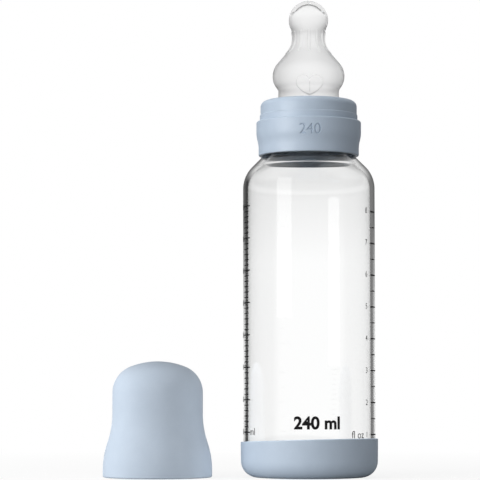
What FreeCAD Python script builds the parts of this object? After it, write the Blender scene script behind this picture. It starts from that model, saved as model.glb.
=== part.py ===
"""Glass baby bottle: a screw-collar feeding bottle in a soft base sleeve, with its dust cap standing beside it.

Five pieces that come apart by hand: base sleeve, glass bottle, feeding teat, collar ring and cap.
The origin is on the floor at the bottle's axis, +Z is up, and the front of the bottle faces -Y.
Sizes are in millimetres and degrees.
"""
import FreeCAD, Part
import math
import os

# Glass bottle
GLASS_DIAMETER = 56.7
GLASS_HEIGHT = 155.5
GLASS_WALL = 2.0
GLASS_FLOOR = 3.0
GLASS_HEEL_RADIUS = 6.0
GLASS_INNER_HEEL_RADIUS = 5.0
PUNT_RADIUS = 17.0
PUNT_DEPTH = 1.2
PUNT_EDGE_RADIUS = 4.0
SHOULDER_ANGLE = 45.0
SHOULDER_RADIUS = 13.0
NECK_DIAMETER = 36.6
NECK_LENGTH = 18.2
NECK_WALL = 2.7
NECK_FOOT_RADIUS = 1.6
LIP_RADIUS = 0.9

# Base sleeve, stretched over the heel of the glass
SLEEVE_WALL = 0.95
SLEEVE_FLOOR = 2.0
SLEEVE_HEIGHT = 15.8
SLEEVE_DRAFT = 0.2
SLEEVE_CORNER_RADIUS = 7.0
SLEEVE_RIM_RADIUS = 0.4
SLEEVE_CLEARANCE = 0.1

# Room for the screw ridges between neck and collar, and the collar's gap to the glass shoulder
THREAD_DEPTH = 1.2
THREAD_CLEARANCE = 0.4
SKIRT_GAP = 0.35

# Collar ring, with drops measured from its top
COLLAR_WALL = 1.75
COLLAR_PLATE = 2.2
COLLAR_TOP_RADIUS = 2.6
COLLAR_EDGE_RADIUS = 0.4
LAND_STEP = 0.3
BEAD_HEIGHT = 2.6
LEDGE_WIDTH = 1.5
LEDGE_DROP = 8.9
BAND_SWELL = 0.95
BAND_EDGE_RADIUS = 0.8
BAND_WAIST_RADIUS = 13.0
BAND_WAIST_TOP_DROP = 15.4
BAND_WAIST_BOTTOM_DROP = 19.0
POCKET_CLEARANCE = 0.4
POCKET_DEPTH = 6.2

# Feeding teat
TEAT_RISE = 43.9
TEAT_WALL = 1.5
TEAT_HOLE_DIAMETER = 0.7
BALL_RADIUS = 8.5
THROAT_ANGLE = 24.9
THROAT_RADIUS = 10.5
WAIST_INSET = 1.77
WAIST_LENGTH = 5.4
WAIST_FOOT_RADIUS = 8.5
BULB_OVERHANG = 2.46
BULB_RISE = 10.9
BULB_CROWN = 3.0
BULB_RADIUS = 8.2
UNDERCUT_ANGLE = 38.8
UNDERCUT_RADIUS = 3.0
TEAT_NECK_DIAMETER = 26.2
TEAT_NECK_CLEARANCE = 0.15
FLANGE_INSET = 0.3
FLANGE_THICKNESS = 2.2
FLANGE_EDGE_RADIUS = 0.6

# Ribs round the teat's waist
RIB_COUNT = 12
RIB_WIDTH = 1.4
RIB_PROUD = 0.3
RIB_ABOVE_WAIST = 3.0
RIB_BELOW_WAIST = 6.8

# Heart-shaped pad on the bulb's front, with the air vent slit in it
HEART_WIDTH = 11.6
HEART_HEIGHT = 8.7
HEART_NOTCH_DEPTH = 1.6
HEART_FLANK_ANGLE = 30.0
HEART_SIDE_BOW = 0.6
HEART_PROUD = 0.4
HEART_TIP_ABOVE_COLLAR = 0.95
SLIT_LENGTH = 3.9
SLIT_WIDTH = 0.3
SLIT_DROP = 3.2

# Cap, standing on its mouth beside the bottle
CAP_HEIGHT = 49.5
CAP_WALL = 1.6
CAP_MOUTH_WALL = 2.2
CAP_MOUTH_CLEARANCE = 0.1
CAP_MOUTH_LEAD_RADIUS = 8.0
CAP_WAIST_DIAMETER = 38.8
CAP_FLARE_TOP = 27.0
CAP_FLARE_BOTTOM = 3.0
CAP_CROWN_ANGLE = 21.5
CAP_CROWN_RADIUS = 32.0
CAP_SHOULDER_RADIUS = 12.0
CAP_RIM_RADIUS = 0.8
CAP_STAND_OFF = 65.0


def slope(angle):
    """Run per unit of rise for a line that leans this many degrees from the vertical."""
    return math.tan(math.radians(angle))


# Glass and neck: radii and heights that follow from the sizes above
glass_radius = GLASS_DIAMETER / 2
glass_bottom = SLEEVE_FLOOR
glass_rim = glass_bottom + GLASS_HEIGHT
neck_radius = NECK_DIAMETER / 2
neck_bore = neck_radius - NECK_WALL
neck_foot = glass_rim - NECK_LENGTH
shoulder = neck_foot - (glass_radius - neck_radius) / slope(SHOULDER_ANGLE)

# Teat and collar: the collar's plate clamps the teat's flange on the glass rim
flange_top = glass_rim + FLANGE_THICKNESS
flange_radius = neck_radius - FLANGE_INSET
teat_neck_radius = TEAT_NECK_DIAMETER / 2
collar_top = flange_top + COLLAR_PLATE
collar_bore = neck_radius + THREAD_DEPTH + THREAD_CLEARANCE
collar_bottom = neck_foot - (collar_bore - SKIRT_GAP - neck_radius) / slope(SHOULDER_ANGLE)
skirt_radius = collar_bore + COLLAR_WALL
band_radius = skirt_radius + BAND_SWELL
bead_radius = band_radius - LEDGE_WIDTH
ledge = collar_top - LEDGE_DROP

# Teat above the collar
teat_tip = collar_top + TEAT_RISE
ball_centre = teat_tip - BALL_RADIUS
throat_top = ball_centre - BALL_RADIUS * slope(THROAT_ANGLE / 2)
throat_bottom = throat_top - WAIST_INSET / slope(THROAT_ANGLE)
waist = throat_bottom - THROAT_RADIUS * slope(THROAT_ANGLE / 2)
waist_radius = BALL_RADIUS - WAIST_INSET
bulb = collar_top + BULB_RISE
bulb_radius = teat_neck_radius + BULB_OVERHANG
heart_tip = collar_top + HEART_TIP_ABOVE_COLLAR
heart_top = heart_tip + HEART_HEIGHT

# Cap
cap_mouth_radius = bead_radius + CAP_MOUTH_CLEARANCE

AXIS_POINT = FreeCAD.Vector(0, 0, 0)
AXIS_UP = FreeCAD.Vector(0, 0, 1)
FULL_TURN = 360
FRONT_ANGLE = -90
SAME_POINT = 1e-6


def setbacks(points, radii):
    """How far each corner's fillet reaches along the runs beside it, limited by the length of those runs."""
    count = len(points)
    wanted = []
    for i in range(count):
        back = points[i - 1] - points[i]
        ahead = points[(i + 1) % count] - points[i]
        wanted.append(radii[i] * math.tan((math.pi - back.getAngle(ahead)) / 2))
    share = [1.0] * count
    for i in range(count):
        j = (i + 1) % count
        run = points[i].distanceToPoint(points[j])
        if wanted[i] + wanted[j] > run:
            fits = run / (wanted[i] + wanted[j])
            share[i] = min(share[i], fits)
            share[j] = min(share[j], fits)
    return [reach * part for reach, part in zip(wanted, share)]


def filleted_face(corners):
    """Face in the XZ plane inside a closed run of (radius, height, fillet) corners."""
    points = [FreeCAD.Vector(r, 0, z) for r, z, _ in corners]
    reaches = setbacks(points, [fillet for _, _, fillet in corners])
    edges = []
    pen = None
    first = None
    for i, corner in enumerate(points):
        back = (points[i - 1] - corner).normalize()
        ahead = (points[(i + 1) % len(points)] - corner).normalize()
        start = corner + back * reaches[i]
        if pen is None:
            first = start
        elif pen.distanceToPoint(start) > SAME_POINT:
            edges.append(Part.LineSegment(pen, start).toShape())
        else:
            start = pen
        pen = start
        if reaches[i] > SAME_POINT:
            half_turn = (math.pi - back.getAngle(ahead)) / 2
            radius = reaches[i] / math.tan(half_turn)
            middle = corner + (back + ahead).normalize() * (radius / math.cos(half_turn) - radius)
            pen = corner + ahead * reaches[i]
            edges.append(Part.Arc(start, middle, pen).toShape())
    if pen.distanceToPoint(first) > SAME_POINT:
        edges.append(Part.LineSegment(pen, first).toShape())
    return Part.Face(Part.Wire(edges))


def turned(corners):
    """Solid made by turning a closed run of corners about the axis."""
    return filleted_face(corners).revolve(AXIS_POINT, AXIS_UP, FULL_TURN)


def parallel(chain, distance):
    """An open chain of corners moved sideways by this distance, to the left of its direction if positive.

    The chain's two ends move straight sideways from their runs, and a fillet grows or shrinks with its side.
    """
    runs = []
    for (r0, z0, _), (r1, z1, _) in zip(chain, chain[1:]):
        length = math.hypot(r1 - r0, z1 - z0)
        runs.append(((r1 - r0) / length, (z1 - z0) / length))
    moved = []
    for i, (r, z, fillet) in enumerate(chain):
        before = runs[max(i - 1, 0)]
        after = runs[min(i, len(runs) - 1)]
        bend = before[0] * after[1] - before[1] * after[0]
        together = 1 + before[0] * after[0] + before[1] * after[1]
        side_r = -(before[1] + after[1]) / together
        side_z = (before[0] + after[0]) / together
        if fillet > 0:
            fillet = max(fillet - distance * math.copysign(1, bend), 0)
        moved.append((r + side_r * distance, z + side_z * distance, fillet))
    return moved


def make_base_sleeve():
    """Soft cup that grips the heel of the glass and is the foot of the bottle."""
    inside = glass_radius + SLEEVE_CLEARANCE
    outside = inside + SLEEVE_WALL
    return turned([
        (0, 0, 0),
        (outside - SLEEVE_DRAFT, 0, SLEEVE_CORNER_RADIUS),
        (outside, SLEEVE_HEIGHT, SLEEVE_RIM_RADIUS),
        (inside, SLEEVE_HEIGHT, SLEEVE_RIM_RADIUS),
        (inside, SLEEVE_FLOOR, GLASS_HEEL_RADIUS),
        (0, SLEEVE_FLOOR, 0),
    ])


def make_glass_bottle():
    """Blown glass vessel: punted floor, straight wall, coned shoulder and a neck with a fire-polished lip."""
    inside = glass_radius - GLASS_WALL
    floor = glass_bottom + GLASS_FLOOR
    inner_shoulder = shoulder - GLASS_WALL * slope(SHOULDER_ANGLE / 2)
    bore_foot = inner_shoulder + (inside - neck_bore) / slope(SHOULDER_ANGLE)
    dome_radius = (PUNT_RADIUS**2 + PUNT_DEPTH**2) / (2 * PUNT_DEPTH)
    dome_corner = PUNT_RADIUS / 2
    return turned([
        (0, glass_bottom + PUNT_DEPTH, 0),
        (dome_corner, glass_bottom + PUNT_DEPTH, dome_radius),
        (PUNT_RADIUS, glass_bottom, PUNT_EDGE_RADIUS),
        (glass_radius, glass_bottom, GLASS_HEEL_RADIUS),
        (glass_radius, shoulder, SHOULDER_RADIUS),
        (neck_radius, neck_foot, NECK_FOOT_RADIUS),
        (neck_radius, glass_rim, LIP_RADIUS),
        (neck_bore, glass_rim, LIP_RADIUS),
        (neck_bore, bore_foot, NECK_FOOT_RADIUS + NECK_WALL),
        (inside, inner_shoulder, SHOULDER_RADIUS - GLASS_WALL),
        (inside, floor, GLASS_INNER_HEEL_RADIUS),
        (PUNT_RADIUS, floor, PUNT_EDGE_RADIUS),
        (dome_corner, floor + PUNT_DEPTH, dome_radius),
        (0, floor + PUNT_DEPTH, 0),
    ])


def teat_skin():
    """Outer line of the teat from its tip down to its flange: ball, waist, cone, bulb and neck."""
    undercut_top = bulb - BULB_RADIUS * slope(UNDERCUT_ANGLE / 2)
    undercut_bottom = undercut_top - BULB_OVERHANG / slope(UNDERCUT_ANGLE)
    return [
        (0, teat_tip, 0),
        (BALL_RADIUS, teat_tip, BALL_RADIUS),
        (BALL_RADIUS, throat_top, BALL_RADIUS),
        (waist_radius, throat_bottom, THROAT_RADIUS),
        (waist_radius, throat_bottom - WAIST_LENGTH, WAIST_FOOT_RADIUS),
        (bulb_radius, bulb + BULB_CROWN, BULB_RADIUS),
        (bulb_radius, undercut_top, BULB_RADIUS),
        (teat_neck_radius, undercut_bottom, UNDERCUT_RADIUS),
        (teat_neck_radius, flange_top, 0),
    ]


def teat_core(distance):
    """Solid body of the teat above its flange, with its skin moved out by this distance, or in if negative."""
    return turned(parallel(teat_skin(), distance) + [(0, flange_top, 0)])


def raised(stamp, height):
    """The part of a stamp that lies on the teat's skin, raised by this height and rooted in the wall."""
    return stamp.common(teat_core(height)).cut(teat_core(-TEAT_WALL / 2))


def heart_outline():
    """Heart in the XZ plane: two round lobes that meet in a notch, and two bowed sides down to the tip."""
    lobe = HEART_NOTCH_DEPTH + HEART_WIDTH / 2 - math.sqrt(HEART_NOTCH_DEPTH * HEART_WIDTH)
    lobe_middle = FreeCAD.Vector(HEART_WIDTH / 2 - lobe, 0, heart_top - lobe)
    notch = FreeCAD.Vector(0, 0, heart_top - HEART_NOTCH_DEPTH)
    tip = FreeCAD.Vector(0, 0, heart_tip)
    flank_turn = math.radians(HEART_FLANK_ANGLE)
    flank = lobe_middle + FreeCAD.Vector(math.cos(flank_turn), 0, -math.sin(flank_turn)) * lobe
    side = tip - flank
    bow = FreeCAD.Vector(-side.z, 0, side.x).normalize() * HEART_SIDE_BOW
    right_lobe = Part.Arc(notch, lobe_middle + AXIS_UP * lobe, flank).toShape()
    right_side = Part.Arc(flank, flank + side / 2 + bow, tip).toShape()
    right = Part.Wire([right_lobe, right_side])
    left = right.mirror(AXIS_POINT, FreeCAD.Vector(1, 0, 0))
    return Part.Face(Part.Wire(right.Edges + left.Edges[::-1]))


def make_heart():
    """Raised heart on the front of the bulb."""
    stamp = heart_outline().extrude(FreeCAD.Vector(0, -2 * bulb_radius, 0))
    return raised(stamp, HEART_PROUD)


def vent_slit():
    """Thin upright cut through the heart and the wall behind it, which lets air in."""
    corner = FreeCAD.Vector(-SLIT_WIDTH / 2, -2 * bulb_radius, heart_top - SLIT_DROP - SLIT_LENGTH)
    return Part.makeBox(SLIT_WIDTH, 2 * bulb_radius, SLIT_LENGTH, corner)


def make_ribs():
    """Round-ended ribs spaced evenly round the waist, one of them at the front."""
    half = RIB_WIDTH / 2
    top = waist + RIB_ABOVE_WAIST - half
    bottom = waist - RIB_BELOW_WAIST + half
    low_left = FreeCAD.Vector(0, -half, bottom)
    low_right = FreeCAD.Vector(0, half, bottom)
    high_left = FreeCAD.Vector(0, -half, top)
    high_right = FreeCAD.Vector(0, half, top)
    outline = Part.Wire([
        Part.LineSegment(low_left, high_left).toShape(),
        Part.Arc(high_left, FreeCAD.Vector(0, 0, top + half), high_right).toShape(),
        Part.LineSegment(high_right, low_right).toShape(),
        Part.Arc(low_right, FreeCAD.Vector(0, 0, bottom - half), low_left).toShape(),
    ])
    stamp = Part.Face(outline).extrude(FreeCAD.Vector(2 * bulb_radius, 0, 0))
    first = raised(stamp, RIB_PROUD)
    ribs = []
    for i in range(RIB_COUNT):
        rib = first.copy()
        rib.rotate(AXIS_POINT, AXIS_UP, FRONT_ANGLE + i * FULL_TURN / RIB_COUNT)
        ribs.append(rib)
    return ribs


def make_teat():
    """Thin-walled moulded teat, with a flange that the collar clamps on the glass rim."""
    skin = teat_skin()
    lining = parallel(skin, -TEAT_WALL)
    bore = teat_neck_radius - TEAT_WALL
    flange = [
        (flange_radius, flange_top, FLANGE_EDGE_RADIUS),
        (flange_radius, glass_rim, FLANGE_EDGE_RADIUS),
        (bore, glass_rim, FLANGE_EDGE_RADIUS),
    ]
    shell = turned(skin + flange + lining[-2::-1])
    hole_foot = FreeCAD.Vector(0, 0, teat_tip - 2 * TEAT_WALL)
    hole = Part.makeCylinder(TEAT_HOLE_DIAMETER / 2, 3 * TEAT_WALL, hole_foot)
    moulding = shell.fuse(make_ribs() + [make_heart()])
    return moulding.cut([hole, vent_slit()]).removeSplitter().Solids[0]


def make_collar_ring():
    """Screw ring: a plate that holds the teat's flange, a land and bead for the cap, a grip band and a skirt."""
    land_radius = bead_radius - LAND_STEP
    bead_top = ledge + BEAD_HEIGHT
    pocket_radius = neck_radius + POCKET_CLEARANCE
    pocket_bottom = flange_top - POCKET_DEPTH
    plate_hole = teat_neck_radius + TEAT_NECK_CLEARANCE
    return turned([
        (plate_hole, collar_top, COLLAR_EDGE_RADIUS),
        (land_radius, collar_top, COLLAR_TOP_RADIUS),
        (land_radius, bead_top + LAND_STEP, 0),
        (bead_radius, bead_top, LAND_STEP),
        (bead_radius, ledge, 0),
        (band_radius, ledge, BAND_EDGE_RADIUS),
        (band_radius, collar_top - BAND_WAIST_TOP_DROP, BAND_WAIST_RADIUS),
        (skirt_radius, collar_top - BAND_WAIST_BOTTOM_DROP, BAND_WAIST_RADIUS),
        (skirt_radius, collar_bottom, COLLAR_EDGE_RADIUS),
        (collar_bore, collar_bottom, COLLAR_EDGE_RADIUS),
        (collar_bore, pocket_bottom - (collar_bore - pocket_radius), 0),
        (pocket_radius, pocket_bottom, 0),
        (pocket_radius, flange_top, COLLAR_EDGE_RADIUS),
        (plate_hole, flange_top, COLLAR_EDGE_RADIUS),
    ])


def make_cap():
    """Dust cap: a domed bell with an ogee flare down to the mouth that slips over the collar's bead."""
    cap_waist = CAP_WAIST_DIAMETER / 2
    foot = cap_mouth_radius + CAP_MOUTH_WALL
    flare_height = CAP_FLARE_TOP - CAP_FLARE_BOTTOM
    flare_angle = 2 * math.degrees(math.atan((foot - cap_waist) / flare_height))
    flare_radius = flare_height / 2 / math.sin(math.radians(flare_angle))
    flare_reach = flare_radius * slope(flare_angle / 2)
    crown_corner = CAP_CROWN_RADIUS * slope(CAP_CROWN_ANGLE / 2)
    crown_drop = (cap_waist - crown_corner) * slope(CAP_CROWN_ANGLE)
    outside = [
        (0, CAP_HEIGHT, 0),
        (crown_corner, CAP_HEIGHT, CAP_CROWN_RADIUS),
        (cap_waist, CAP_HEIGHT - crown_drop, CAP_SHOULDER_RADIUS),
        (cap_waist, CAP_FLARE_TOP - flare_reach, flare_radius),
        (foot, CAP_FLARE_BOTTOM + flare_reach, flare_radius),
        (foot, 0, CAP_RIM_RADIUS),
    ]
    inside = parallel(outside, -CAP_WALL)
    flare_foot_radius, flare_foot, _ = inside[4]
    mouth_top = flare_foot + (flare_foot_radius - cap_mouth_radius) / slope(flare_angle)
    mouth = [(cap_mouth_radius, 0, CAP_RIM_RADIUS / 2), (cap_mouth_radius, mouth_top, CAP_MOUTH_LEAD_RADIUS)]
    bell = turned(outside + mouth + inside[3::-1])
    bell.translate(FreeCAD.Vector(-CAP_STAND_OFF, 0, 0))
    return bell


PIECES = {
    "base_sleeve": make_base_sleeve,
    "glass_bottle": make_glass_bottle,
    "teat": make_teat,
    "collar_ring": make_collar_ring,
    "cap": make_cap,
}

os.makedirs("parts", exist_ok=True)
for name, make in PIECES.items():
    shape = make()
    print(name, shape.ShapeType, "valid", shape.isValid(), "volume", round(shape.Volume, 1))
    shape.exportStep(os.path.join("parts", name + ".step"))
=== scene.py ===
import math

import bmesh
import bpy
import numpy as np
from mathutils import Matrix, Vector


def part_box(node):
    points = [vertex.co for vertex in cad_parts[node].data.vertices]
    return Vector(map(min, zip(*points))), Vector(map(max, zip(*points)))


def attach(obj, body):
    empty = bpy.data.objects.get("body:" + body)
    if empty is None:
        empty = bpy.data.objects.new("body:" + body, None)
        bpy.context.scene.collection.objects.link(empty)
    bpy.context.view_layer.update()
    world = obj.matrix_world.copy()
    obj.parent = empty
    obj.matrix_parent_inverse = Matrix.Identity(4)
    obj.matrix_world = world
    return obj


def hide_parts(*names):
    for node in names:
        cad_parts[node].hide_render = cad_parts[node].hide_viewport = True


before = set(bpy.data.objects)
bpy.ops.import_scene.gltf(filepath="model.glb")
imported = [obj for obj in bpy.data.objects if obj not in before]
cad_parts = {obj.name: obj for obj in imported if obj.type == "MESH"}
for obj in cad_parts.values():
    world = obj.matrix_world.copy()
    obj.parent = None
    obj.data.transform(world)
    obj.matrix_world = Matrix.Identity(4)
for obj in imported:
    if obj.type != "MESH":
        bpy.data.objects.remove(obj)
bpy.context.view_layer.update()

# Sizes are in millimetres and angles in degrees, and a piece's mesh is in metres.
# An angle round the bottle is counted from its front, towards the right.
MM = 0.001
FULL_TURN = 2 * math.pi


def reach(node):
    """Lowest height, highest height and radius of a turned node of the frame, in millimetres."""
    low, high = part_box(node)
    return low.z / MM, high.z / MM, (high.x - low.x) / 2 / MM


def cap_axis():
    """Place of the cap's axis on X, in millimetres."""
    low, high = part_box("cap")
    return (low.x + high.x) / 2 / MM


# Places read from the frame
GLASS_BOTTOM, GLASS_RIM, GLASS_RADIUS = reach("glass_bottle")
SLEEVE_BOTTOM, SLEEVE_RIM, SLEEVE_RADIUS = reach("base_sleeve")
COLLAR_BOTTOM, COLLAR_TOP, BAND_RADIUS = reach("collar_ring")
TEAT_FOOT, TEAT_TIP, FLANGE_RADIUS = reach("teat")
CAP_FOOT, CAP_TOP, CAP_RADIUS = reach("cap")
CAP_AXIS = cap_axis()

# Glass bottle
GLASS_WALL = 2.0
GLASS_FLOOR = 3.0
GLASS_HEEL = 6.0
GLASS_INNER_HEEL = 5.0
PUNT_RADIUS = 17.0
PUNT_DEPTH = 1.2
PUNT_EDGE = 4.0
SHOULDER_LEAN = 45.0
SHOULDER_SLOPE = math.tan(math.radians(SHOULDER_LEAN))
SHOULDER_BEND = 13.0
NECK_RADIUS = 18.3
NECK_BORE = 15.6
NECK_FOOT = GLASS_RIM - 18.2
NECK_FOOT_BEND = 0.2
NECK_BEAD_RISE = 1.7
NECK_BEAD_WIDTH = 0.55
NECK_BEAD_PROUD = 0.45
NECK_INNER_BEND = 0.3
LIP_BEND = 0.9
SHOULDER = NECK_FOOT - (GLASS_RADIUS - NECK_RADIUS) / SHOULDER_SLOPE

# Screw ridges of neck and collar
THREAD_LEAD = 5.0
THREAD_DEPTH = 1.15
THREAD_ROOT_WIDTH = 2.1
THREAD_CREST_WIDTH = 0.8
THREAD_TURNS = 1.6
THREAD_RUN_OUT = 25.0
NECK_THREAD_FOOT = GLASS_RIM - 14.6
COLLAR_THREAD_FOOT = NECK_THREAD_FOOT - THREAD_LEAD / 2

# Base sleeve
SLEEVE_FLOOR = 2.0
SLEEVE_WALL = 0.95
SLEEVE_DRAFT = 0.2
SLEEVE_CORNER = 7.0
SLEEVE_EDGE = 0.4
SLEEVE_TILT = 1.1
SLEEVE_TILT_ANGLE = 41.0

# Collar ring
COLLAR_PLATE = 2.2
COLLAR_TOP_BEND = 2.6
COLLAR_EDGE = 0.4
PLATE_HOLE = 13.25
LAND_RADIUS = 20.8
BEAD_RADIUS = 21.1
BEAD_STEP = BEAD_RADIUS - LAND_RADIUS
BEAD_HEIGHT = 2.6
LEDGE = COLLAR_TOP - 8.9
BAND_EDGE = 0.8
BAND_BEND = 13.0
BAND_WAIST_TOP = COLLAR_TOP - 15.4
BAND_WAIST_BOTTOM = COLLAR_TOP - 19.0
SKIRT_RADIUS = 21.65
COLLAR_BORE = 19.9
POCKET_RADIUS = 18.7
POCKET_BOTTOM = COLLAR_TOP - 8.4
NUMBER_HEIGHT = COLLAR_TOP - 14.6
NUMBER_SIZE = 6.4
NUMBER_DEPTH = 0.45
NUMBER_FLANK = 0.15
NUMBER_ROOM = (15.0, 6.0)

# Teat
TEAT_WALL = 1.5
TEAT_HOLE = 0.35
BALL_RADIUS = 8.5
THROAT_LEAN = 24.9
THROAT_BEND = 10.5
WAIST_RADIUS = 6.73
WAIST_LENGTH = 5.4
WAIST_FOOT_BEND = 8.5
BULB_RADIUS = 15.56
BULB_HEIGHT = COLLAR_TOP + 10.9
BULB_CROWN = 3.0
BULB_BEND = 8.2
UNDERCUT_LEAN = 38.8
UNDERCUT_BEND = 3.0
TEAT_NECK = 13.1
FLANGE_TOP = TEAT_FOOT + 2.2
FLANGE_EDGE = 0.6
POLISHED_ABOVE = TEAT_TIP - 5.6
POLISH_FADE = 5.0

RIB_COUNT = 12
RIB_WIDTH = 1.4
RIB_PROUD = 0.45
RIB_TOP = TEAT_TIP - 13.5
RIB_BOTTOM = TEAT_TIP - 23.3

HEART_WIDTH = 11.6
HEART_TIP = COLLAR_TOP + 0.95
HEART_TOP = COLLAR_TOP + 9.65
HEART_NOTCH = 1.6
HEART_FLANK = 30.0
HEART_BOW = 0.6
HEART_PROUD = 0.7
HEART_BEVEL = 0.5
SLIT_LENGTH = 3.9
SLIT_WIDTH = 0.3
SLIT_TOP = HEART_TOP - 3.2
SLIT_FLOOR_SHARE = 0.6
SLIT_DEPTH_SHARE = 0.7

# Cap
CAP_WALL = 1.6
CAP_MOUTH = 21.2
CAP_MOUTH_TOP = 9.6
CAP_LEDGE_RISE = 1.0
CAP_WAIST = 19.4
CAP_FLARE_TOP = 27.0
CAP_FLARE_BOTTOM = 3.0
CAP_CROWN_LEAN = 21.5
CAP_CROWN_BEND = 32.0
CAP_SHOULDER_BEND = 12.0
CAP_EDGE = 0.8

# Prints on the glass
PRINT_THICKNESS = 0.03
PRINT_GAP = 0.01
FIRST_MARK_ML = 30
FIRST_MARK_HEIGHT = 19.33
HEIGHT_PER_ML = 0.4584
FULL_ML = 240
ML_STEP = 5
ML_NUMBER_STEP = 30
ML_PER_OUNCE = 29.57
FULL_OUNCES = 8
OUNCE_SCALE_DROP = 0.8
LONG_TICK = 8.4
LONG_TICK_WIDTH = 0.5
SHORT_ML_TICK = 5.8
SHORT_OUNCE_TICK = 4.6
SHORT_TICK_WIDTH = 0.42
SCALE_NUMBER_SIZE = 3.4
UNIT_SIZE = 4.4
ML_TICK_ANGLE = -72.5
ML_NUMBER_ANGLE = -83.0
ML_UNIT_ANGLE = -64.0
ML_UNIT_RISE = 0.2
OUNCE_TICK_ANGLE = 74.0
OUNCE_NUMBER_ANGLE = 57.0
OUNCE_UNIT_ANGLE = 44.5
OUNCE_UNIT_DROP = 1.0
CAPACITY_SIZE = 7.2
CAPACITY_BOLD = 0.25
CAPACITY_ANGLE = 5.2
CAPACITY_HEIGHT = 23.2

# Colours of the satin pieces, each with its faint shade
COLLAR_BLUE = (0.465, 0.55, 0.655)
COLLAR_SHADE = (0.435, 0.52, 0.625)
SLEEVE_BLUE = (0.515, 0.605, 0.715)
SLEEVE_SHADE = (0.485, 0.575, 0.685)
# The cap's blue is lighter than the collar's: partly the cap's own colour, and partly painted light that
# stands in for the brighter light on the cap
CAP_BLUE = (0.56, 0.645, 0.75)
CAP_SHADE = (0.53, 0.615, 0.72)
TONE_FROM = 0.12
TONE_FULL = 0.42
ROUGHNESS_SPREAD = 0.05

# Least and greatest roughness of the print
ENAMEL_SMOOTH = 0.5
ENAMEL_ROUGH = 0.8

# Silicone of the teat: how much light it lets through, and the painted shade that greys it where it is seen
# edge on
FROST_CLEAR = 0.97
FROST_EDGE_SHADE = 0.72
FROST_EDGE_SHADE_FROM = 0.04
FROST_EDGE_SHADE_FULL = 0.42
TIP_CLEAR = 0.98
# Thin dark line of painted shade where the tip's lining is seen edge on
TIP_PAINTED_LINE = 0.03
TIP_PAINTED_LINE_FROM = 0.55
TIP_PAINTED_LINE_FULL = 0.72

# Order of the teat's materials
FROSTED_SKIN, POLISHED_SKIN, TIP_LINING, INNER_LINING = range(4)

# Noise textures stay between these values nearly everywhere
NOISE_LOW = 0.3
NOISE_HIGH = 0.7

# Camera, from the photograph, with its far clipping distance in metres
PICTURE_WIDTH = 480
FOCAL_PIXELS = 2200
SENSOR_WIDTH = 36.0
CAMERA_PLACE = (-29.7, -946.0, 35.1)
CAMERA_PITCH = 4.03
CLIP_END = 100.0

# Studio, with lengths in metres. Levels of brightness, where 1 is white, change between two values of one
# part of the direction that light comes from: its height, or how far it turns to the side or to the front.
AMBIENT = 0.27
AMBIENT_BEHIND_GLASS = 0.01
ROOM_FROM = 0.06
ROOM_FULL = 0.11
ROOM_LEVEL = 0.2
HAZE_FROM = 0.06
HAZE_FULL = 0.11
HAZE_LEVEL = 0.9
ABOVE_FROM = 0.21
ABOVE_FULL = 0.36
ABOVE_LEVEL = 0.1
LEFT_LEVEL = 0.05
RIGHT_LEVEL = 0.2
BACKDROP_EDGE = 0.31
BACKDROP_END = 0.43
BACKDROP_TOP_FROM = 0.02
BACKDROP_TOP = 0.08
BACKDROP_ABOVE = 0.15
CEILING_FROM = 0.2
CEILING_FULL = 0.45
CEILING_GAP_FROM = 0.12
CEILING_GAP_TO = 0.3
CEILING_GAP_LEVEL = 0.1
CEILING_LEVEL = 0.7
SKYLIGHT_FROM = 0.55
SKYLIGHT_FULL = 0.8
SKYLIGHT_LEVEL = 2.4
FRONT_FROM = -0.35
FRONT_FULL = -0.6
TABLE_LEVEL = 0.25
TABLE_FROM = 0.25
TABLE_FULL = 1.0
DEEP_WALLS = 3
FLOOR_RADIUS = 8.0
FLOOR_SEGMENTS = 96
FLOOR_DROP = 0.0001
FLOOR_GLOW = 0.85
FLOOR_WHITE = 0.92
FLOOR_BOUNCE = 0.55
FLOOR_BOUNCE_BEHIND_GLASS = 0.02
SHADOW_CORE = 0.05
SHADOW_REACH = 0.45

# Fineness of the meshes
COLUMNS = 192
ARC_STEP = 8.0
CHORD = 1.0
EASE = 0.4
EASED_RUN = 3.0
THREAD_STEP = 0.3
NUMBER_STEP = 0.12
TEAT_STEP = 0.8
TEAT_FINE_STEP = 0.22
TEAT_FINE_MARGIN = 1.0
TEAT_COLUMNS = 300
HEART_COLUMNS_REACH = 26.0
HEART_COLUMN_STEP = 0.45
HEART_LOBE_STEPS = 24
HEART_SIDE_STEPS = 12
SLIT_COLUMNS = (-1.6, -1, -0.5, 0, 0.5, 1, 1.6)
SLIT_COLUMNS_END = 3
LETTER_STRIP = 0.4
TICK_STRIP = 0.8
SHARP_ANGLE = 40
PRINT_SHARP_ANGLE = 30

# Margins for what counts as the same place
SAME_RADIUS = 1e-3
NEAR_AXIS = 0.1
NEAR_HOLE = 1.01
WELD_METRES = 1e-7
LETTER_WELD = 1e-5
CUT_REACH = 1e-6


def lean(angle):
    """Sideways run per unit of height for a line that leans this many degrees."""
    return math.tan(math.radians(angle))


def rounded(corners):
    """Line through a run of (radius, height, bend) corners, with each bend as an arc of short steps."""
    points = [Vector(corner[:2]) for corner in corners]
    line = [points[0]]
    for before, corner, after, sized in zip(points, points[1:], points[2:], corners[1:]):
        bend = sized[2]
        if bend == 0:
            line.append(corner)
            continue
        back = (before - corner).normalized()
        ahead = (after - corner).normalized()
        turn = math.pi - back.angle(ahead)
        centre = corner + (back + ahead).normalized() * bend / math.cos(turn / 2)
        spoke = corner + back * bend * math.tan(turn / 2) - centre
        side = math.copysign(1, back.cross(ahead))
        steps = max(2, math.ceil(math.degrees(turn) / ARC_STEP), math.ceil(turn * bend / CHORD))
        for i in range(steps + 1):
            a = -side * turn * i / steps
            swung = Vector((
                spoke.x * math.cos(a) - spoke.y * math.sin(a),
                spoke.x * math.sin(a) + spoke.y * math.cos(a),
            ))
            line.append(centre + swung)
    line.append(points[-1])
    return [(p.x, p.y) for p in line]


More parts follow.
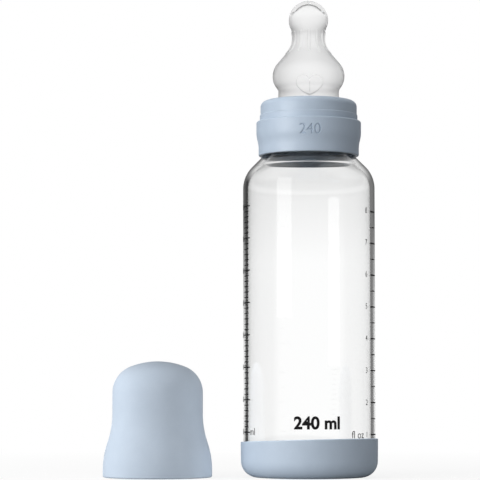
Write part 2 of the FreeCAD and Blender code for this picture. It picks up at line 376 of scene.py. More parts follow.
def eased(line, closed=False):
    """The line with a point near each end of its long runs, so that smooth shading stays flat there."""
    out = []
    ends = list(zip(line, line[1:]))
    if closed:
        ends.append((line[-1], line[0]))
    for (r0, z0), (r1, z1) in ends:
        out.append((r0, z0))
        run = math.hypot(r1 - r0, z1 - z0)
        if run > EASED_RUN:
            for share in (EASE / run, 1 - EASE / run):
                out.append((r0 + (r1 - r0) * share, z0 + (z1 - z0) * share))
    if not closed:
        out.append(line[-1])
    return out


def refined(line, step, wanted):
    """The line with steps no longer than this where wanted(radius, height) holds halfway along a run."""
    out = [line[0]]
    for (r0, z0), (r1, z1) in zip(line, line[1:]):
        parts = 1
        if wanted((r0 + r1) / 2, (z0 + z1) / 2):
            parts = max(1, math.ceil(math.hypot(r1 - r0, z1 - z0) / step))
        for i in range(1, parts + 1):
            out.append((r0 + (r1 - r0) * i / parts, z0 + (z1 - z0) * i / parts))
    return out


def inset(line, distance):
    """The line moved to its right-hand side by this distance."""
    points = np.array(line)
    along = np.gradient(points, axis=0)
    along /= np.linalg.norm(along, axis=1, keepdims=True)
    return [tuple(p) for p in points + distance * np.stack([along[:, 1], -along[:, 0]], axis=1)]


def even_columns(count):
    """Angles of the columns of a turned piece, evenly spaced."""
    return [FULL_TURN * i / count for i in range(count)]


def front_columns(width, radius, step):
    """Angles of the columns of a turned piece, this step apart over a width at its front."""
    front = width / 2 / radius
    near = np.linspace(-front, front, math.ceil(width / step))
    rest = np.linspace(front, FULL_TURN - front, COLUMNS)[1:-1]
    return sorted(a % FULL_TURN for a in [*near, *rest])


def turned(name, line, columns=None, shape=None, ring=False):
    """New object turned about Z from a line of (radius, height) points.

    A ring's line closes on itself, and any other line starts and ends on the axis.
    shape(radius, height, angle) may move the points, and gives their new radius and height.
    """
    radius, height = (np.array(values)[:, None] for values in zip(*line))
    angle = np.array(columns or even_columns(COLUMNS))[None, :]
    radius, height, angle = np.broadcast_arrays(radius, height, angle)
    if shape:
        radius, height = shape(radius, height, angle)
    places = np.stack([radius * np.sin(angle), -radius * np.cos(angle), height], axis=-1) * MM
    rows, width = radius.shape
    index = np.arange(rows * width).reshape(rows, width)
    below = index if ring else index[:-1]
    above = np.roll(index, -1, axis=0) if ring else index[1:]
    quads = np.stack([below, np.roll(below, -1, axis=1), np.roll(above, -1, axis=1), above], axis=-1)
    mesh = bpy.data.meshes.new(name)
    mesh.from_pydata(places.reshape(-1, 3).tolist(), [], quads.reshape(-1, 4).tolist())
    return finished(name, mesh, SHARP_ANGLE)


def finished(name, mesh, sharp):
    """Object of a mesh with merged poles, outward faces and smooth shading up to a sharp angle."""
    shell = bmesh.new()
    shell.from_mesh(mesh)
    bmesh.ops.remove_doubles(shell, verts=shell.verts, dist=WELD_METRES)
    bmesh.ops.recalc_face_normals(shell, faces=shell.faces)
    shell.to_mesh(mesh)
    shell.free()
    mesh.polygons.foreach_set("use_smooth", [True] * len(mesh.polygons))
    mesh.set_sharp_from_angle(angle=math.radians(sharp))
    piece = bpy.data.objects.new(name, mesh)
    bpy.context.scene.collection.objects.link(piece)
    return piece


def dressed(piece, materials, body, slot, *nodes):
    """Gives a piece its materials and body, and hides the nodes that it stands for."""
    for material in materials:
        piece.data.materials.append(material)
    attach(piece, body)
    if nodes:
        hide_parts(*nodes)
    return piece


def screw_ridge(height, angle, foot):
    """How far a screw ridge stands out at each place, as a share of its depth."""
    ridge = np.zeros_like(height)
    length = THREAD_TURNS * FULL_TURN
    for lap in range(math.ceil(THREAD_TURNS) + 1):
        wound = angle % FULL_TURN + lap * FULL_TURN
        away = np.abs(height - foot - THREAD_LEAD * wound / FULL_TURN)
        flank = (THREAD_ROOT_WIDTH - THREAD_CREST_WIDTH) / 2
        rise = np.clip((THREAD_ROOT_WIDTH / 2 - away) / flank, 0, 1)
        fade = np.clip(np.minimum(wound, length - wound) / math.radians(THREAD_RUN_OUT), 0, 1)
        ridge = np.maximum(ridge, rise * rise * (3 - 2 * rise) * fade)
    return ridge


def make_glass():
    """Clear glass vessel with a punted floor, and with a bead and a screw ridge on its neck."""
    inside = GLASS_RADIUS - GLASS_WALL
    floor = GLASS_BOTTOM + GLASS_FLOOR
    inner_shoulder = SHOULDER - GLASS_WALL * lean(SHOULDER_LEAN / 2)
    bore_foot = inner_shoulder + (inside - NECK_BORE) / SHOULDER_SLOPE
    dome_bend = (PUNT_RADIUS**2 + PUNT_DEPTH**2) / (2 * PUNT_DEPTH)
    line = rounded([
        (0, GLASS_BOTTOM + PUNT_DEPTH, 0),
        (PUNT_RADIUS / 2, GLASS_BOTTOM + PUNT_DEPTH, dome_bend),
        (PUNT_RADIUS, GLASS_BOTTOM, PUNT_EDGE),
        (GLASS_RADIUS, GLASS_BOTTOM, GLASS_HEEL),
        (GLASS_RADIUS, SHOULDER, SHOULDER_BEND),
        (NECK_RADIUS, NECK_FOOT, NECK_FOOT_BEND),
        (NECK_RADIUS, GLASS_RIM, LIP_BEND),
        (NECK_BORE, GLASS_RIM, LIP_BEND),
        (NECK_BORE, bore_foot, NECK_INNER_BEND),
        (inside, inner_shoulder, SHOULDER_BEND - GLASS_WALL),
        (inside, floor, GLASS_INNER_HEEL),
        (PUNT_RADIUS, floor, PUNT_EDGE),
        (PUNT_RADIUS / 2, floor + PUNT_DEPTH, dome_bend),
        (0, floor + PUNT_DEPTH, 0),
    ])

    def with_bead_and_thread(radius, height, angle):
        outer_neck = (np.abs(radius - NECK_RADIUS) < SAME_RADIUS) & (height > NECK_FOOT)
        ridge = THREAD_DEPTH * screw_ridge(height, angle, NECK_THREAD_FOOT)
        away = (height - NECK_FOOT - NECK_BEAD_RISE) / NECK_BEAD_WIDTH
        bead = NECK_BEAD_PROUD * np.exp(-(away**2))
        return np.where(outer_neck, radius + ridge + bead, radius), height

    line = refined(line, THREAD_STEP, lambda r, z: abs(r - NECK_RADIUS) < SAME_RADIUS)
    return turned("bottle_glass", eased(line), shape=with_bead_and_thread)


def make_sleeve():
    """Soft cup round the heel of the glass, pulled up a little further at the front right."""
    inside = SLEEVE_RADIUS - SLEEVE_WALL
    line = rounded([
        (0, SLEEVE_BOTTOM, 0),
        (SLEEVE_RADIUS - SLEEVE_DRAFT, SLEEVE_BOTTOM, SLEEVE_CORNER),
        (SLEEVE_RADIUS, SLEEVE_RIM, SLEEVE_EDGE),
        (inside, SLEEVE_RIM, SLEEVE_EDGE),
        (inside, SLEEVE_FLOOR, GLASS_HEEL),
        (0, SLEEVE_FLOOR, 0),
    ])

    def askew(radius, height, angle):
        share = np.clip((height - SLEEVE_CORNER) / (SLEEVE_RIM - SLEEVE_CORNER), 0, 1)
        tilt = SLEEVE_TILT * np.cos(angle - math.radians(SLEEVE_TILT_ANGLE)) * radius / SLEEVE_RADIUS
        return radius, height + tilt * share

    return turned("sleeve_silicone", eased(line), shape=askew)


def make_collar():
    """Screw collar with a land and bead for the cap, a numbered band, a skirt and an inner screw ridge."""
    flange_top = COLLAR_TOP - COLLAR_PLATE
    line = rounded([
        ((PLATE_HOLE + POCKET_RADIUS) / 2, flange_top, 0),
        (PLATE_HOLE, flange_top, COLLAR_EDGE),
        (PLATE_HOLE, COLLAR_TOP, COLLAR_EDGE),
        (LAND_RADIUS, COLLAR_TOP, COLLAR_TOP_BEND),
        (LAND_RADIUS, LEDGE + BEAD_HEIGHT + BEAD_STEP, 0),
        (BEAD_RADIUS, LEDGE + BEAD_HEIGHT, BEAD_STEP),
        (BEAD_RADIUS, LEDGE, 0),
        (BAND_RADIUS, LEDGE, BAND_EDGE),
        (BAND_RADIUS, BAND_WAIST_TOP, BAND_BEND),
        (SKIRT_RADIUS, BAND_WAIST_BOTTOM, BAND_BEND),
        (SKIRT_RADIUS, COLLAR_BOTTOM, COLLAR_EDGE),
        (COLLAR_BORE, COLLAR_BOTTOM, COLLAR_EDGE),
        (COLLAR_BORE, POCKET_BOTTOM - COLLAR_BORE + POCKET_RADIUS, 0),
        (POCKET_RADIUS, POCKET_BOTTOM, 0),
        (POCKET_RADIUS, flange_top, COLLAR_EDGE),
        ((PLATE_HOLE + POCKET_RADIUS) / 2, flange_top, 0),
    ])[:-1]

    number = glyph_edges(str(FULL_ML), NUMBER_SIZE)
    width, tall = NUMBER_ROOM

    def with_thread_and_number(radius, height, angle):
        bore = np.abs(radius - COLLAR_BORE) < SAME_RADIUS
        ridge = THREAD_DEPTH * screw_ridge(height, angle, COLLAR_THREAD_FOOT)
        turn = (angle + math.pi) % FULL_TURN - math.pi
        depth = depth_inside(number, turn * BAND_RADIUS, height - NUMBER_HEIGHT)
        groove = NUMBER_DEPTH * np.clip(depth / NUMBER_FLANK, 0, 1)
        moved = np.where(radius > SKIRT_RADIUS, radius - groove, radius)
        return np.where(bore, moved - ridge, moved), height

    def round_number(radius, height):
        return radius > SKIRT_RADIUS and abs(height - NUMBER_HEIGHT) < tall / 2

    line = refined(line, THREAD_STEP, lambda r, z: abs(r - COLLAR_BORE) < SAME_RADIUS)
    line = refined(line, NUMBER_STEP, round_number)
    columns = front_columns(width, BAND_RADIUS, NUMBER_STEP)
    line = eased(line, closed=True)
    return turned("collar_plastic", line, columns, shape=with_thread_and_number, ring=True)


def heart_outline():
    """Edges round the heart as seen from the front, from the notch by the right side to the tip and back."""
    half = HEART_WIDTH / 2
    lobe = HEART_NOTCH + half - math.sqrt(2 * HEART_NOTCH * half)
    middle = Vector((half - lobe, HEART_TOP - lobe))
    notch = Vector((0, HEART_TOP - HEART_NOTCH))
    tip = Vector((0, HEART_TIP))
    start = math.atan2(notch.y - middle.y, notch.x - middle.x)
    end = -math.radians(HEART_FLANK)
    right = []
    for i in range(HEART_LOBE_STEPS + 1):
        a = start + (end - start) * i / HEART_LOBE_STEPS
        right.append(middle + lobe * Vector((math.cos(a), math.sin(a))))
    flank = right[-1]
    out = Vector((flank.y - tip.y, tip.x - flank.x)).normalized()
    for i in range(1, HEART_SIDE_STEPS + 1):
        share = i / HEART_SIDE_STEPS
        right.append(flank.lerp(tip, share) + out * HEART_BOW * 4 * share * (1 - share))
    left = [Vector((-p.x, p.y)) for p in reversed(right[1:-1])]
    whole = right + left
    return list(zip(whole, whole[1:] + whole[:1]))


def depth_inside(edges, across, up):
    """Distance from each place inside the outlines of these edges to the nearest edge, and 0 outside."""
    nearest = np.full(across.shape, np.inf)
    inside = np.zeros(across.shape, bool)
    for (x0, y0), (x1, y1) in edges:
        run, rise = x1 - x0, y1 - y0
        share = np.clip(((across - x0) * run + (up - y0) * rise) / (run**2 + rise**2), 0, 1)
        nearest = np.minimum(nearest, np.hypot(across - x0 - share * run, up - y0 - share * rise))
        if rise:
            crossing = x0 + (up - y0) / rise * run
            inside ^= ((y0 > up) != (y1 > up)) & (across < crossing)
    return np.where(inside, nearest, 0)


def teat_skin():
    """Outer line of the teat from the top of its ball down to its flange."""
    throat_top = TEAT_TIP - BALL_RADIUS - BALL_RADIUS * lean(THROAT_LEAN / 2)
    throat_bottom = throat_top - (BALL_RADIUS - WAIST_RADIUS) / lean(THROAT_LEAN)
    undercut_top = BULB_HEIGHT - BULB_BEND * lean(UNDERCUT_LEAN / 2)
    undercut_bottom = undercut_top - (BULB_RADIUS - TEAT_NECK) / lean(UNDERCUT_LEAN)
    return rounded([
        (0, TEAT_TIP, 0),
        (BALL_RADIUS, TEAT_TIP, BALL_RADIUS),
        (BALL_RADIUS, throat_top, BALL_RADIUS),
        (WAIST_RADIUS, throat_bottom, THROAT_BEND),
        (WAIST_RADIUS, throat_bottom - WAIST_LENGTH, WAIST_FOOT_BEND),
        (BULB_RADIUS, BULB_HEIGHT + BULB_CROWN, BULB_BEND),
        (BULB_RADIUS, undercut_top, BULB_BEND),
        (TEAT_NECK, undercut_bottom, UNDERCUT_BEND),
        (TEAT_NECK, FLANGE_TOP, 0),
    ])


def teat_columns():
    """Angles of the teat's columns, closer together over the heart and the slit."""
    front = math.radians(HEART_COLUMNS_REACH)
    slit = SLIT_WIDTH / 2 / BULB_RADIUS
    near = [share * slit for share in SLIT_COLUMNS]
    side = np.arange(SLIT_COLUMNS_END * slit, front, math.radians(HEART_COLUMN_STEP))
    rest = np.linspace(front, FULL_TURN - front, TEAT_COLUMNS)
    return sorted([a % FULL_TURN for a in [*near, *side, *-side]] + list(rest))


def at_teat_detail(radius, height):
    """Whether a place on the teat's line lies at the heart, the ribs or the edge of the polish."""
    spans = [(HEART_TIP, HEART_TOP), (RIB_BOTTOM, RIB_TOP), (POLISHED_ABOVE, POLISHED_ABOVE)]
    return any(low - TEAT_FINE_MARGIN < height < high + TEAT_FINE_MARGIN for low, high in spans)


def make_teat():
    """Moulded teat: ball, ribbed waist, bulb with a heart-shaped vent pad, and flange."""
    skin = refined(teat_skin(), TEAT_STEP, lambda r, z: True)
    skin = refined(skin, TEAT_FINE_STEP, at_teat_detail)
    lining = inset(skin, TEAT_WALL)
    outside = [(TEAT_HOLE, TEAT_TIP)] + [p for p in skin if p[0] > TEAT_HOLE]
    inside = [p for p in lining if p[0] > TEAT_HOLE][::-1] + [(TEAT_HOLE, TEAT_TIP - TEAT_WALL)]
    flange = rounded([
        (TEAT_NECK, FLANGE_TOP, 0),
        (FLANGE_RADIUS, FLANGE_TOP, FLANGE_EDGE),
        (FLANGE_RADIUS, TEAT_FOOT, FLANGE_EDGE),
        (TEAT_NECK - TEAT_WALL, TEAT_FOOT, FLANGE_EDGE),
        (TEAT_NECK - TEAT_WALL, FLANGE_TOP, 0),
    ])[1:-1]
    line = outside + flange + inside
    outline = heart_outline()

    def moulded(radius, height, angle):
        outer = np.zeros(radius.shape, bool)
        outer[: len(outside)] = True
        spacing = FULL_TURN / RIB_COUNT
        round_rib = radius * ((angle + spacing / 2) % spacing - spacing / 2)
        half = RIB_WIDTH / 2
        past_end = np.maximum(0, np.maximum(height - RIB_TOP + half, RIB_BOTTOM + half - height))
        from_rib = np.hypot(round_rib, past_end) / half
        ribs = RIB_PROUD * np.sqrt(np.clip(1 - from_rib**2, 0, 1))
        across = np.where(np.cos(angle) > 0, radius * np.sin(angle), np.inf)
        across = np.clip(across, -HEART_WIDTH, HEART_WIDTH)
        heart = HEART_PROUD * np.clip(depth_inside(outline, across, height) / HEART_BEVEL, 0, 1)
        slit_middle = SLIT_TOP - SLIT_LENGTH / 2
        in_width = np.abs(across) < SLIT_FLOOR_SHARE * SLIT_WIDTH / 2
        in_length = np.abs(height - slit_middle) < SLIT_LENGTH / 2
        cut = np.where(in_width & in_length, HEART_PROUD + SLIT_DEPTH_SHARE * TEAT_WALL, 0)
        return np.where(outer, radius + ribs + heart - cut, radius), height

    piece = turned("teat_silicone", eased(line, closed=True), teat_columns(), shape=moulded, ring=True)
    ball = Vector((0, 0, TEAT_TIP - BALL_RADIUS)) * MM
    for face in piece.data.polygons:
        at_hole = math.hypot(face.center.x, face.center.y) < NEAR_HOLE * TEAT_HOLE * MM
        if face.center.z > POLISHED_ABOVE * MM:
            outward = face.normal.dot(face.center - ball) > 0
            face.material_index = POLISHED_SKIN if outward and not at_hole else TIP_LINING
    lining_rows = (len(inside) - 1) * len(teat_columns())
    for face in list(piece.data.polygons)[-lining_rows:]:
        if face.material_index == FROSTED_SKIN:
            face.material_index = INNER_LINING
    return piece


def make_cap():
    """Dust cap: a domed bell with an ogee flare and a straight mouth."""
    flare_height = CAP_FLARE_TOP - CAP_FLARE_BOTTOM
    flare_lean = 2 * math.degrees(math.atan((CAP_RADIUS - CAP_WAIST) / flare_height))
    flare_bend = flare_height / 2 / math.sin(math.radians(flare_lean))
    flare_reach = flare_bend * lean(flare_lean / 2)
    crown = CAP_CROWN_BEND * lean(CAP_CROWN_LEAN / 2)
    outside = rounded([
        (0, CAP_TOP, 0),
        (crown, CAP_TOP, CAP_CROWN_BEND),
        (CAP_WAIST, CAP_TOP - (CAP_WAIST - crown) * lean(CAP_CROWN_LEAN), CAP_SHOULDER_BEND),
        (CAP_WAIST, CAP_FLARE_TOP - flare_reach, flare_bend),
        (CAP_RADIUS, CAP_FLARE_BOTTOM + flare_reach, flare_bend),
        (CAP_RADIUS, CAP_FOOT, CAP_EDGE),
        (CAP_MOUTH, CAP_FOOT, CAP_EDGE / 2),
        (CAP_MOUTH, CAP_MOUTH_TOP, 0),
    ])
    walls = [p for p in outside if p[1] > CAP_MOUTH_TOP]
    lining = [(0, CAP_TOP - CAP_WALL)]
    for radius, height in inset(walls, CAP_WALL):
        if height > CAP_MOUTH_TOP + CAP_LEDGE_RISE and radius > NEAR_AXIS:
            lining.append((radius, height))
    piece = turned("cap_plastic", eased(outside + lining[::-1]))
    piece.data.transform(Matrix.Translation((CAP_AXIS * MM, 0, 0)))
    return piece


def add(tree, kind, inputs=None, **settings):
    """New shader node, with its settings made and its inputs linked or set."""
    made = tree.nodes.new("ShaderNode" + kind)
    for name, value in settings.items():
        setattr(made, name, value)
    for key, value in (inputs or {}).items():
        if isinstance(value, bpy.types.NodeSocket):
            tree.links.new(value, made.inputs[key])
        else:
            made.inputs[key].default_value = value
    return made


def calculated(tree, operation, *values):
    """Output of a math node on the values."""
    return add(tree, "Math", dict(enumerate(values)), operation=operation).outputs[0]


def ranged(tree, value, start, end, first, last):
    """Output that runs from first to last as the value runs from start to end, and stops at both."""
    return add(tree, "MapRange", {0: value, 1: start, 2: end, 3: first, 4: last}).outputs[0]


def chosen(tree, share, without, full):
    """Output that is one value where the share is 0 and the other where it is 1."""
    return add(tree, "Mix", {"Factor": share, "A": without, "B": full}, data_type="FLOAT").outputs["Result"]


def new_material(name, **surface):
    """New material with a principled surface, and its node tree, principled node and place on the object."""
    material = bpy.data.materials.new(name)
    material.use_nodes = True
    tree = material.node_tree
    surface_node = tree.nodes["Principled BSDF"]
    for key, value in surface.items():
        surface_node.inputs[key.replace("_", " ")].default_value = value
    place = add(tree, "TexCoord").outputs["Object"]
    return material, tree, surface_node, place


def bumped(tree, surface, relief, strength, distance):
    """Gives a surface a fine relief of this height, in metres."""
    bump = add(tree, "Bump", {"Strength": strength, "Distance": distance, "Height": relief})
    tree.links.new(bump.outputs[0], surface.inputs["Normal"])


def mottled(tree, surface, spots, least, most):
    """Varies a surface's roughness between two values with a noise."""
    rough = ranged(tree, spots, NOISE_LOW, NOISE_HIGH, least, most)
    tree.links.new(rough, surface.inputs["Roughness"])


def seen_edge_on(tree):
    """Output that runs from 0 where a surface faces the eye to 1 where it is seen edge on."""
    return add(tree, "LayerWeight", {"Blend": 0.5}).outputs["Facing"]


def satin_blue(name, colour, shade, grain, roughness):
    """Moulded blue-grey plastic or silicone with a fine eroded grain and a faint uneven tone."""
    material, tree, surface, place = new_material(name, IOR=1.47)
    clouds = add(tree, "TexNoise", {"Vector": place, "Scale": 140.0, "Detail": 4.0}).outputs["Fac"]
    speckle = add(tree, "TexNoise", {"Vector": place, "Scale": 2600.0, "Detail": 2.0}).outputs["Fac"]
    mixed = calculated(tree, "MULTIPLY", clouds, speckle)
    tone = ranged(tree, mixed, TONE_FROM, TONE_FULL, 0.0, 1.0)
    paint = add(tree, "Mix", {"Factor": tone, "A": (*shade, 1), "B": (*colour, 1)}, data_type="RGBA")
    tree.links.new(paint.outputs["Result"], surface.inputs["Base Color"])
    mottled(tree, surface, speckle, roughness - ROUGHNESS_SPREAD, roughness + ROUGHNESS_SPREAD)
    bumped(tree, surface, speckle, strength=grain, distance=0.00004)
    return material


def clear_glass():
    """Clear blown glass, very slightly wavy."""
    material, tree, surface, place = new_material(
        "clear_glass", Base_Color=(0.991, 0.993, 0.992, 1), Roughness=0.0, IOR=1.5, Transmission_Weight=1.0
    )
    waves = add(tree, "TexNoise", {"Vector": place, "Scale": 45.0, "Detail": 1.0}).outputs["Fac"]
    bumped(tree, surface, waves, strength=0.04, distance=0.0002)
    return material


def frosted_silicone():
    """Frosted translucent silicone, greyed by painted shade where it is seen edge on, and clearer towards
    the tip.
    """
    material, tree, surface, place = new_material("frosted_silicone", IOR=1.1, Transmission_Weight=0.96)
    spots = add(tree, "TexNoise", {"Vector": place, "Scale": 900.0, "Detail": 3.0}).outputs["Fac"]
    mottled(tree, surface, spots, least=0.4, most=0.5)
    edge_on = seen_edge_on(tree)
    # Painted shade: the colour greys where the surface is seen edge on, which darkens the teat's edges and
    # the outlines of its ribs and heart
    grey = ranged(tree, edge_on, FROST_EDGE_SHADE_FROM, FROST_EDGE_SHADE_FULL, FROST_CLEAR, FROST_EDGE_SHADE)
    height = add(tree, "SeparateXYZ", {0: place}).outputs["Z"]
    clearer = ranged(tree, height, (POLISHED_ABOVE - POLISH_FADE) * MM, POLISHED_ABOVE * MM, 0.0, 1.0)
    tree.links.new(chosen(tree, clearer, grey, TIP_CLEAR), surface.inputs["Base Color"])
    return material


def frosted_lining():
    """Frosted inside of the clear tip, with a thin dark line of painted shade where it is seen edge on."""
    material, tree, surface, place = new_material("frosted_lining", IOR=1.02, Transmission_Weight=1.0)
    spots = add(tree, "TexNoise", {"Vector": place, "Scale": 900.0, "Detail": 3.0}).outputs["Fac"]
    mottled(tree, surface, spots, least=0.3, most=0.4)
    # Painted shade: the colour turns nearly black where the lining is seen edge on
    grey = ranged(tree, seen_edge_on(tree), TIP_PAINTED_LINE_FROM, TIP_PAINTED_LINE_FULL, TIP_CLEAR, TIP_PAINTED_LINE)
    tree.links.new(grey, surface.inputs["Base Color"])
    return material


def polished_silicone(name, **values):
    """Clear polished silicone, with a faint ripple left by the mould."""
    material, tree, surface, place = new_material(
        name, Base_Color=(0.99, 0.99, 0.99, 1), Roughness=0.0, Transmission_Weight=1.0, **values
    )
    ripple = add(tree, "TexNoise", {"Vector": place, "Scale": 300.0}).outputs["Fac"]
    bumped(tree, surface, ripple, strength=0.03, distance=0.0001)
    return material


def print_enamel():
    """Black enamel fired on the glass."""
    material, tree, surface, place = new_material(
        "print_enamel", Base_Color=(0.012, 0.012, 0.013, 1), Specular_IOR_Level=0.1
    )
    grain = add(tree, "TexNoise", {"Vector": place, "Scale": 3000.0}).outputs["Fac"]
    rough = ranged(tree, grain, 0.0, 1.0, ENAMEL_SMOOTH, ENAMEL_ROUGH)
    tree.links.new(rough, surface.inputs["Roughness"])
    return material


def on_glass(mesh, angle, height):
    """Wraps a flat mesh, drawn in millimetres in its XY plane with its thickness on Z, round the glass."""
    for vertex in mesh.vertices:
        radius = GLASS_RADIUS + PRINT_GAP + vertex.co.z
        turn = math.radians(angle) + vertex.co.x / GLASS_RADIUS
        vertex.co = Vector((radius * math.sin(turn), -radius * math.cos(turn), height + vertex.co.y)) * MM


def text_mesh(text, size, **settings):
    """Mesh of plain lettering, in millimetres in its XY plane."""
    curve = bpy.data.curves.new("lettering", "FONT")
    curve.body = text
    curve.size = size
    curve.align_x = "CENTER"
    curve.align_y = "CENTER"
    for name, value in settings.items():
        setattr(curve, name, value)
    source = bpy.data.objects.new("lettering", curve)
    bpy.context.scene.collection.objects.link(source)
    bpy.context.view_layer.update()
    mesh = bpy.data.meshes.new_from_object(source.evaluated_get(bpy.context.evaluated_depsgraph_get()))
    bpy.data.objects.remove(source)
    bpy.data.curves.remove(curve)
    return mesh


def glyph_edges(text, size):
    """Edges of the outlines of plain lettering, as pairs of points."""
    mesh = text_mesh(text, size, fill_mode="NONE")
    points = [tuple(vertex.co.xy) for vertex in mesh.vertices]
    edges = [tuple(points[end] for end in edge.vertices) for edge in mesh.edges]
    bpy.data.meshes.remove(mesh)
    return [edge for edge in edges if edge[0] != edge[1]]


def cut_in_strips(shell, low, high, step):
    """Cuts a flat shell across X at every step, so that it can bend."""
    for cut in np.arange(low + step, high, step):
        geometry = shell.verts[:] + shell.edges[:] + shell.faces[:]
        bmesh.ops.bisect_plane(
            shell, geom=geometry, dist=CUT_REACH, plane_co=(cut, 0, 0), plane_no=(1, 0, 0)
        )


def lettering(text, size, align="CENTER", bold=0.0):
    """Thin mesh of plain lettering, in narrow strips."""
    mesh = text_mesh(text, size, align_x=align, offset=bold, extrude=PRINT_THICKNESS / 2)
    shell = bmesh.new()
    shell.from_mesh(mesh)
    bmesh.ops.remove_doubles(shell, verts=shell.verts, dist=LETTER_WELD)
    low = min(v.co.x for v in shell.verts)
    high = max(v.co.x for v in shell.verts)
    cut_in_strips(shell, low, high, LETTER_STRIP)
    shell.to_mesh(mesh)
    shell.free()
    for vertex in mesh.vertices:
        vertex.co.z += PRINT_THICKNESS / 2
    return mesh


def tick(length, width):
    """Flat mesh of one straight mark, in short strips."""
    block = bmesh.new()
    bmesh.ops.create_cube(block, size=1)
    for vertex in block.verts:
        across, along, up = vertex.co
        vertex.co = Vector((across * length, along * width, (up + 0.5) * PRINT_THICKNESS))
    cut_in_strips(block, -length / 2, length / 2, TICK_STRIP)
    mesh = bpy.data.meshes.new("tick")
    block.to_mesh(mesh)
    block.free()
    return mesh


def scale_tick(numbered, short_length):
    """Mark of a scale, longer and thicker where the scale has a number."""
    if numbered:
        return tick(LONG_TICK, LONG_TICK_WIDTH)
    return tick(short_length, SHORT_TICK_WIDTH)


def printed(name, marks):
    """One printed piece from (mesh, angle, height) marks wrapped round the glass."""
    joined = bmesh.new()
    for mesh, angle, height in marks:
        on_glass(mesh, angle, height)
        joined.from_mesh(mesh)
        bpy.data.meshes.remove(mesh)
    whole = bpy.data.meshes.new(name)
    joined.to_mesh(whole)
    joined.free()
    return finished(name, whole, PRINT_SHARP_ANGLE)


def mark_height(millilitres):
    """Height of the mark for this volume."""
    return FIRST_MARK_HEIGHT + (millilitres - FIRST_MARK_ML) * HEIGHT_PER_ML


def make_prints():
    """Measuring scales at both sides of the glass, and the plain capacity number at the front."""
    left = []
    for volume in range(FIRST_MARK_ML, FULL_ML + 1, ML_STEP):
        height = mark_height(volume)
        numbered = volume % ML_NUMBER_STEP == 0
        left.append((scale_tick(numbered, SHORT_ML_TICK), ML_TICK_ANGLE, height))
        if numbered:
            left.append((lettering(str(volume), SCALE_NUMBER_SIZE, "RIGHT"), ML_NUMBER_ANGLE, height))
    first = mark_height(FIRST_MARK_ML)
    left.append((lettering("ml", UNIT_SIZE, "LEFT"), ML_UNIT_ANGLE, first + ML_UNIT_RISE))
    right = []
    for half_ounces in range(2, 2 * FULL_OUNCES + 1):
        numbered = half_ounces % 2 == 0
        height = mark_height(half_ounces / 2 * ML_PER_OUNCE) - OUNCE_SCALE_DROP
        right.append((scale_tick(numbered, SHORT_OUNCE_TICK), OUNCE_TICK_ANGLE, height))
        if numbered:
            right.append((lettering(str(half_ounces // 2), SCALE_NUMBER_SIZE), OUNCE_NUMBER_ANGLE, height))
    right.append((lettering("fl oz", UNIT_SIZE), OUNCE_UNIT_ANGLE, first - OUNCE_UNIT_DROP))
    capacity = lettering(f"{FULL_ML} ml", CAPACITY_SIZE, bold=CAPACITY_BOLD)
    front = [(capacity, CAPACITY_ANGLE, CAPACITY_HEIGHT)]
    return [printed("scale_ml", left), printed("scale_oz", right), printed("capacity_print", front)]


def met(tree, kind, times=1):
    """1 for light that meets this kind of surface at least so many times before the eye, and else 0."""
    depth = add(tree, "LightPath").outputs[kind + " Depth"]
    return calculated(tree, "GREATER_THAN", depth, times - 0.5)


def studio_white(tree, direction):
    """Brightness of the white studio to the eye, in mirrors and through glass.

    It is white behind everything, and what shines through a wall is darker high above the table. A mirror
    sees a low white backdrop between dark sides, a bright ceiling at both sides of a dark gap, and at the
    front the white table under a dark room. Deep inside, behind several walls, it sees that front all round.
    """
    parts = add(tree, "SeparateXYZ", {0: direction}).outputs
    room = ranged(tree, parts["Z"], ROOM_FROM, ROOM_FULL, 1.0, ROOM_LEVEL)
    haze = ranged(tree, parts["Z"], HAZE_FROM, HAZE_FULL, 1.0, HAZE_LEVEL)
    above = ranged(tree, parts["Z"], ABOVE_FROM, ABOVE_FULL, 1.0, ABOVE_LEVEL)
    side = ranged(tree, parts["X"], -BACKDROP_EDGE, BACKDROP_EDGE, LEFT_LEVEL, RIGHT_LEVEL)
    aside = calculated(tree, "ABSOLUTE", parts["X"])
    low_backdrop = ranged(tree, parts["Z"], BACKDROP_TOP_FROM, BACKDROP_TOP, 1.0, BACKDROP_ABOVE)
    backdrop = ranged(tree, aside, BACKDROP_EDGE, BACKDROP_END, low_backdrop, side)
    ceiling = ranged(tree, aside, CEILING_GAP_FROM, CEILING_GAP_TO, CEILING_GAP_LEVEL, CEILING_LEVEL)
    front = ranged(tree, parts["Y"], FRONT_FROM, FRONT_FULL, 0.0, 1.0)
    upward = ranged(tree, parts["Z"], CEILING_FROM, CEILING_FULL, 0.0, 1.0)
    around = chosen(tree, front, chosen(tree, upward, backdrop, ceiling), room)
    mirrored = chosen(tree, met(tree, "Transmission", DEEP_WALLS), around, room)
    through = chosen(tree, met(tree, "Transmission"), 1.0, calculated(tree, "MULTIPLY", haze, above))
    return chosen(tree, met(tree, "Glossy"), through, mirrored)


def seen_directly(tree):
    """1 for what reaches the eye without scattering off a matte surface, and 0 for the rest."""
    return calculated(tree, "SUBTRACT", 1.0, met(tree, "Diffuse"))


def soft_light(tree, direction):
    """Level of the studio's own soft light, which reaches matte surfaces behind glass mostly from above."""
    height = add(tree, "SeparateXYZ", {0: direction}).outputs["Z"]
    skylight = ranged(tree, height, SKYLIGHT_FROM, SKYLIGHT_FULL, AMBIENT_BEHIND_GLASS, SKYLIGHT_LEVEL)
    return chosen(tree, met(tree, "Transmission"), AMBIENT, skylight)


